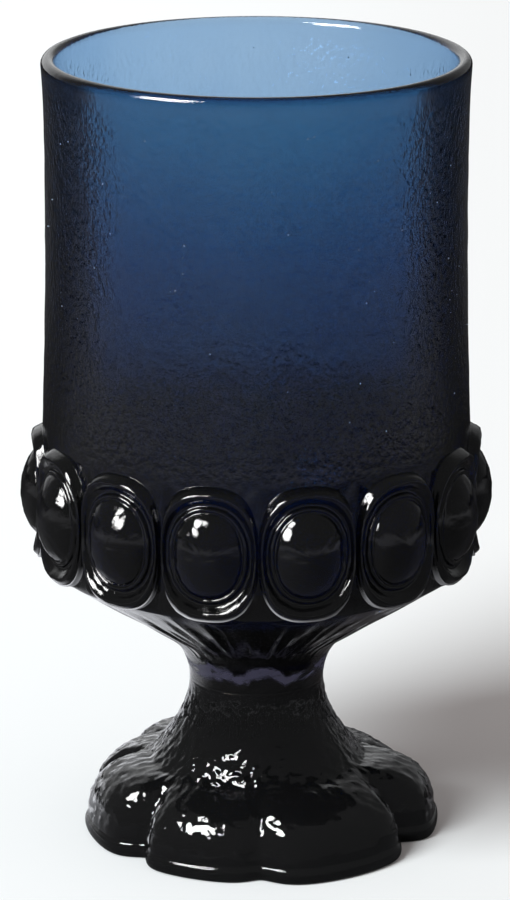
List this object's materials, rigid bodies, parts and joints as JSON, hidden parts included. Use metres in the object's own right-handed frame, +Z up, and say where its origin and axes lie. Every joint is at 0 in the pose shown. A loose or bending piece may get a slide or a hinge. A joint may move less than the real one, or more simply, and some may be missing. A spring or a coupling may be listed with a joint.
{
  "type": "footed drinking glass",
  "caption": "Deep blue pressed glass goblet with a tall straight bowl, a raised band of oval medallions, a narrow waist and a lobed foot.",
  "frame": {"origin": "centre of the foot, on the surface that the glass stands on", "axes": "+Z up along the glass's axis, -Y towards the viewer of the picture"},
  "size_m": [0.0928, 0.0912, 0.156],
  "materials": {
    "bowl_glass": "fire polished, deep blue, faintly rippled outside",
    "band_glass": "glossy, thick deep blue that looks almost black",
    "foot_glass": "glossy and softly dimpled, thick deep blue that looks almost black"
  },
  "bodies": {
    "root": {"bowl_wall": "bowl_glass", "bowl_base": "foot_glass", "stem": "foot_glass", "foot_plate": "foot_glass", "medallion_frame_1": "band_glass", "medallion_frame_2": "band_glass", "medallion_frame_3": "band_glass", "medallion_frame_4": "band_glass", "medallion_frame_5": "band_glass", "medallion_frame_6": "band_glass", "medallion_frame_7": "band_glass", "medallion_frame_8": "band_glass", "medallion_frame_9": "band_glass", "medallion_frame_10": "band_glass", "medallion_frame_11": "band_glass", "medallion_frame_12": "band_glass", "medallion_frame_13": "band_glass", "medallion_frame_14": "band_glass", "cabochon_1": "band_glass", "cabochon_2": "band_glass", "cabochon_3": "band_glass", "cabochon_4": "band_glass", "cabochon_5": "band_glass", "cabochon_6": "band_glass", "cabochon_7": "band_glass", "cabochon_8": "band_glass", "cabochon_9": "band_glass", "cabochon_10": "band_glass", "cabochon_11": "band_glass", "cabochon_12": "band_glass", "cabochon_13": "band_glass", "cabochon_14": "band_glass", "foot_lobe_1": "foot_glass", "foot_lobe_2": "foot_glass", "foot_lobe_3": "foot_glass", "foot_lobe_4": "foot_glass", "foot_lobe_5": "foot_glass", "foot_lobe_6": "foot_glass", "foot_lobe_7": "foot_glass", "foot_lobe_8": "foot_glass"}
  },
  "joints": []
}
